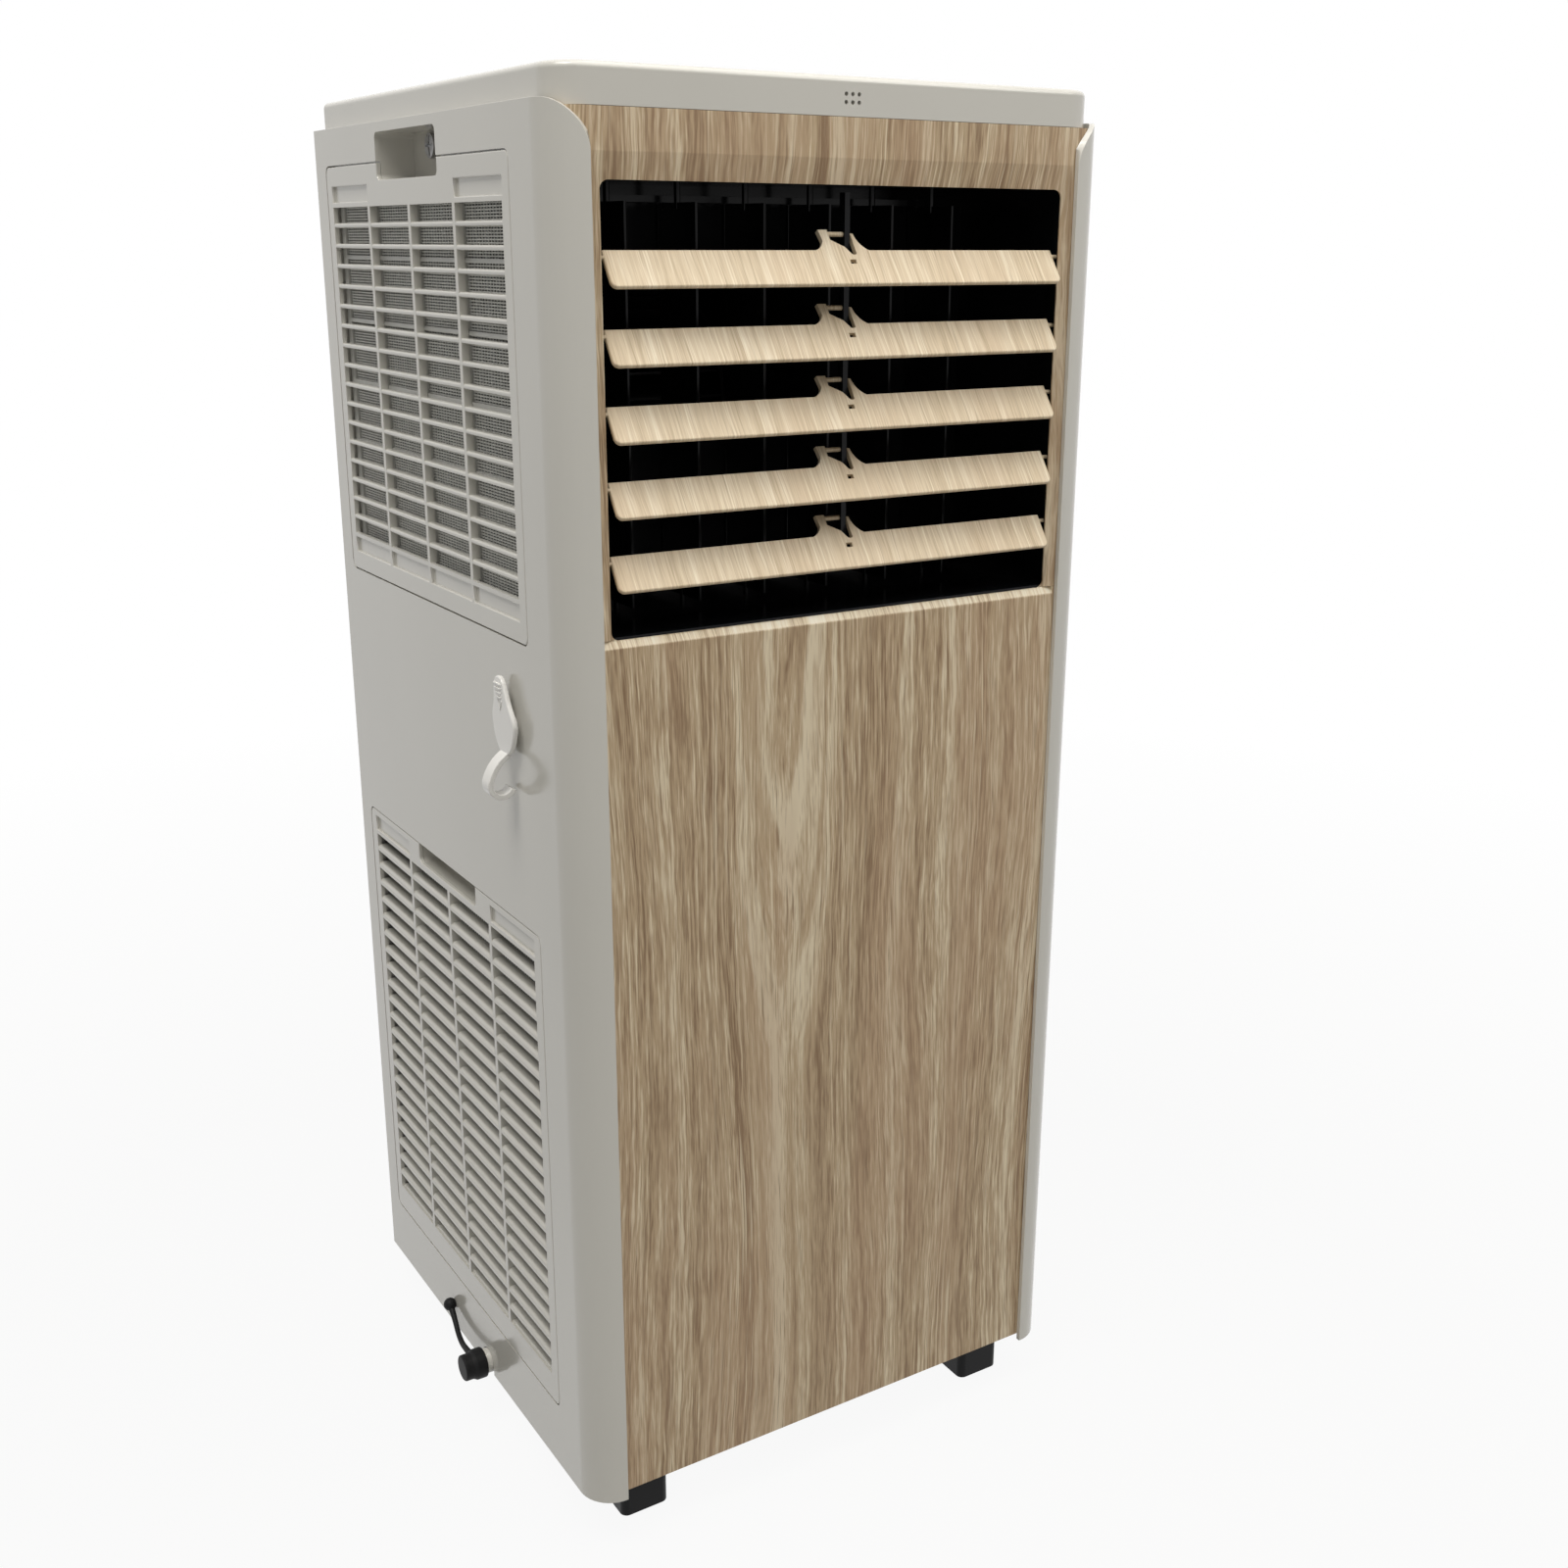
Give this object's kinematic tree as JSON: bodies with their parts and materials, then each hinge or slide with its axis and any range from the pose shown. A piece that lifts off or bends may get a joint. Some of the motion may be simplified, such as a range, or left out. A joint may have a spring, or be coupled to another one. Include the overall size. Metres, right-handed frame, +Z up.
{
  "type": "spot air conditioner",
  "caption": "Upright portable air conditioner on casters, with an oak-grain front, tilting outlet louvres, side grille covers that hinge open, a hose hook and a drain with a rubber plug.",
  "frame": {"origin": "on the floor under the middle of the whole object", "axes": "+Z up, -Y towards the outlet front, -X towards the side with the grilles and the drain"},
  "size_m": [0.31, 0.2989, 0.7152],
  "materials": {
    "white_plastic": "gloss",
    "oak_panel": "oak grain, satin",
    "oak_louvre": "oak grain, satin",
    "black_gloss": "gloss",
    "black_satin": "satin",
    "rubber": "matte",
    "screw_steel": "bright",
    "zinc_sheet": "satin",
    "coil_fins": "satin",
    "copper_tube": "satin",
    "motor_can": "satin",
    "compressor_black": "painted satin",
    "filter_net": "woven net",
    "filter_grey": "satin",
    "display_dark": "gloss",
    "circuit_board": "satin"
  },
  "bodies": {
    "cabinet": {"left_side_panel": "white_plastic", "right_side_panel": "white_plastic", "back_panel": "white_plastic", "top_cover": "white_plastic", "control_panel": "white_plastic", "hose_hook": "white_plastic", "drain_spigot": "white_plastic", "exhaust_socket": "white_plastic", "front_panel": "oak_panel", "outlet_duct": "black_gloss", "cord_gland": "black_satin", "blower_scroll": "black_satin", "condenser_fan_scroll": "black_satin", "drain_strap": "rubber", "compressor_grommets": "rubber", "cover_screws": "screw_steel", "recess_screw": "screw_steel", "base_pan": "zinc_sheet", "middle_deck": "zinc_sheet", "evaporator_coil": "coil_fins", "condenser_coil": "coil_fins", "refrigerant_pipes": "copper_tube", "blower_motor": "motor_can", "condenser_fan_motor": "motor_can", "compressor": "compressor_black", "display_window": "display_dark", "control_board": "circuit_board"},
    "louvre_1": {"louvre_1": "oak_louvre"},
    "louvre_2": {"louvre_2": "oak_louvre"},
    "louvre_3": {"louvre_3": "oak_louvre"},
    "louvre_4": {"louvre_4": "oak_louvre"},
    "louvre_5": {"louvre_5": "oak_louvre"},
    "louvre_link": {"louvre_link_rod": "black_gloss"},
    "vane_1": {"vane_1": "black_gloss"},
    "vane_2": {"vane_2": "black_gloss"},
    "vane_3": {"vane_3": "black_gloss"},
    "vane_4": {"vane_4": "black_gloss"},
    "vane_5": {"vane_5": "black_gloss"},
    "vane_6": {"vane_6": "black_gloss"},
    "vane_tie": {"vane_tie_bar": "black_gloss"},
    "upper_cover": {"upper_grille": "white_plastic", "filter_frame": "filter_grey", "filter_mesh": "filter_net"},
    "lower_cover": {"lower_grille": "white_plastic"},
    "plug": {"drain_plug": "rubber"},
    "fork_front_left": {"caster_fork_front_left": "black_satin"},
    "wheels_front_left": {"caster_wheels_front_left": "black_satin"},
    "fork_front_right": {"caster_fork_front_right": "black_satin"},
    "wheels_front_right": {"caster_wheels_front_right": "black_satin"},
    "fork_rear_left": {"caster_fork_rear_left": "black_satin"},
    "wheels_rear_left": {"caster_wheels_rear_left": "black_satin"},
    "fork_rear_right": {"caster_fork_rear_right": "black_satin"},
    "wheels_rear_right": {"caster_wheels_rear_right": "black_satin"},
    "button_1": {"button_1": "black_satin"},
    "button_2": {"button_2": "black_satin"},
    "button_3": {"button_3": "black_satin"},
    "button_4": {"button_4": "black_satin"},
    "button_5": {"button_5": "black_satin"},
    "blower_rotor": {"blower_wheel": "black_satin"},
    "condenser_rotor": {"condenser_fan_wheel": "black_satin"}
  },
  "joints": [
    {"name": "louvre_1_tilt", "type": "hinge", "parent": "cabinet", "child": "louvre_1", "pos_m": [0.008, -0.14, 0.6382], "axis": [1, 0, 0], "range_deg": [-75, 12]},
    {"name": "louvre_2_tilt", "type": "hinge", "parent": "cabinet", "child": "louvre_2", "pos_m": [0.008, -0.14, 0.6062], "axis": [1, 0, 0], "range_deg": [-75, 12]},
    {"name": "louvre_3_tilt", "type": "hinge", "parent": "cabinet", "child": "louvre_3", "pos_m": [0.008, -0.14, 0.5742], "axis": [1, 0, 0], "range_deg": [-75, 12]},
    {"name": "louvre_4_tilt", "type": "hinge", "parent": "cabinet", "child": "louvre_4", "pos_m": [0.008, -0.14, 0.5422], "axis": [1, 0, 0], "range_deg": [-75, 12]},
    {"name": "louvre_5_tilt", "type": "hinge", "parent": "cabinet", "child": "louvre_5", "pos_m": [0.008, -0.14, 0.5102], "axis": [1, 0, 0], "range_deg": [-75, 12]},
    {"name": "louvre_link_swing", "type": "hinge", "parent": "louvre_1", "child": "louvre_link", "pos_m": [0.0125, -0.13324, 0.64811], "axis": [1, 0, 0], "range_deg": [-12, 75]},
    {"name": "vane_1_turn", "type": "hinge", "parent": "cabinet", "child": "vane_1", "pos_m": [-0.082, -0.0831, 0.57], "axis": [0, 0, 1], "range_deg": [-35, 35]},
    {"name": "vane_2_turn", "type": "hinge", "parent": "cabinet", "child": "vane_2", "pos_m": [-0.046, -0.0831, 0.57], "axis": [0, 0, 1], "range_deg": [-35, 35]},
    {"name": "vane_3_turn", "type": "hinge", "parent": "cabinet", "child": "vane_3", "pos_m": [-0.01, -0.0831, 0.57], "axis": [0, 0, 1], "range_deg": [-35, 35]},
    {"name": "vane_4_turn", "type": "hinge", "parent": "cabinet", "child": "vane_4", "pos_m": [0.026, -0.0831, 0.57], "axis": [0, 0, 1], "range_deg": [-35, 35]},
    {"name": "vane_5_turn", "type": "hinge", "parent": "cabinet", "child": "vane_5", "pos_m": [0.062, -0.0831, 0.57], "axis": [0, 0, 1], "range_deg": [-35, 35]},
    {"name": "vane_6_turn", "type": "hinge", "parent": "cabinet", "child": "vane_6", "pos_m": [0.098, -0.0831, 0.57], "axis": [0, 0, 1], "range_deg": [-35, 35]},
    {"name": "vane_tie_swing", "type": "hinge", "parent": "vane_1", "child": "vane_tie", "pos_m": [-0.082, -0.0711, 0.6635], "axis": [0, 0, 1], "range_deg": [-35, 35]},
    {"name": "upper_cover_hinge", "type": "hinge", "parent": "cabinet", "child": "upper_cover", "pos_m": [-0.1383, 0.0122, 0.4707], "axis": [0, -1, 0], "range_deg": [0, 55]},
    {"name": "lower_cover_hinge", "type": "hinge", "parent": "cabinet", "child": "lower_cover", "pos_m": [-0.1383, 0.0122, 0.0657], "axis": [0, -1, 0], "range_deg": [0, 55]},
    {"name": "drain_plug_pull", "type": "slide", "parent": "cabinet", "child": "plug", "axis": [-1, 0, 0], "range_m": [0, 0.024], "deforming": ["drain_strap"]},
    {"name": "swivel_front_left", "type": "hinge", "parent": "cabinet", "child": "fork_front_left", "pos_m": [-0.103, -0.105, 0.05], "axis": [0, 0, 1], "continuous": true},
    {"name": "roll_front_left", "type": "hinge", "parent": "fork_front_left", "child": "wheels_front_left", "pos_m": [-0.103, -0.115, 0.016], "axis": [1, 0, 0], "continuous": true},
    {"name": "swivel_front_right", "type": "hinge", "parent": "cabinet", "child": "fork_front_right", "pos_m": [0.119, -0.105, 0.05], "axis": [0, 0, 1], "continuous": true},
    {"name": "roll_front_right", "type": "hinge", "parent": "fork_front_right", "child": "wheels_front_right", "pos_m": [0.119, -0.115, 0.016], "axis": [1, 0, 0], "continuous": true},
    {"name": "swivel_rear_left", "type": "hinge", "parent": "cabinet", "child": "fork_rear_left", "pos_m": [-0.103, 0.105, 0.05], "axis": [0, 0, 1], "continuous": true},
    {"name": "roll_rear_left", "type": "hinge", "parent": "fork_rear_left", "child": "wheels_rear_left", "pos_m": [-0.103, 0.095, 0.016], "axis": [1, 0, 0], "continuous": true},
    {"name": "swivel_rear_right", "type": "hinge", "parent": "cabinet", "child": "fork_rear_right", "pos_m": [0.119, 0.105, 0.05], "axis": [0, 0, 1], "continuous": true},
    {"name": "roll_rear_right", "type": "hinge", "parent": "fork_rear_right", "child": "wheels_rear_right", "pos_m": [0.119, 0.095, 0.016], "axis": [1, 0, 0], "continuous": true},
    {"name": "button_1_press", "type": "slide", "parent": "cabinet", "child": "button_1", "axis": [0, 0, -1], "range_m": [0, 0.0008], "stiffness_N_per_m": 400},
    {"name": "button_2_press", "type": "slide", "parent": "cabinet", "child": "button_2", "axis": [0, 0, -1], "range_m": [0, 0.0008], "stiffness_N_per_m": 400},
    {"name": "button_3_press", "type": "slide", "parent": "cabinet", "child": "button_3", "axis": [0, 0, -1], "range_m": [0, 0.0008], "stiffness_N_per_m": 400},
    {"name": "button_4_press", "type": "slide", "parent": "cabinet", "child": "button_4", "axis": [0, 0, -1], "range_m": [0, 0.0008], "stiffness_N_per_m": 400},
    {"name": "button_5_press", "type": "slide", "parent": "cabinet", "child": "button_5", "axis": [0, 0, -1], "range_m": [0, 0.0008], "stiffness_N_per_m": 400},
    {"name": "blower_spin", "type": "hinge", "parent": "cabinet", "child": "blower_rotor", "pos_m": [-0.032, 0.045, 0.562], "axis": [1, 0, 0], "continuous": true},
    {"name": "condenser_fan_spin", "type": "hinge", "parent": "cabinet", "child": "condenser_rotor", "pos_m": [-0.042, 0.03, 0.175], "axis": [1, 0, 0], "continuous": true}
  ],
  "couplings": [
    {"joint": "louvre_2_tilt", "follows": "louvre_1_tilt", "ratio": 1},
    {"joint": "louvre_3_tilt", "follows": "louvre_1_tilt", "ratio": 1},
    {"joint": "louvre_4_tilt", "follows": "louvre_1_tilt", "ratio": 1},
    {"joint": "louvre_5_tilt", "follows": "louvre_1_tilt", "ratio": 1},
    {"joint": "louvre_link_swing", "follows": "louvre_1_tilt", "ratio": -1},
    {"joint": "vane_2_turn", "follows": "vane_1_turn", "ratio": 1},
    {"joint": "vane_3_turn", "follows": "vane_1_turn", "ratio": 1},
    {"joint": "vane_4_turn", "follows": "vane_1_turn", "ratio": 1},
    {"joint": "vane_5_turn", "follows": "vane_1_turn", "ratio": 1},
    {"joint": "vane_6_turn", "follows": "vane_1_turn", "ratio": 1},
    {"joint": "vane_tie_swing", "follows": "vane_1_turn", "ratio": -1}
  ]
}
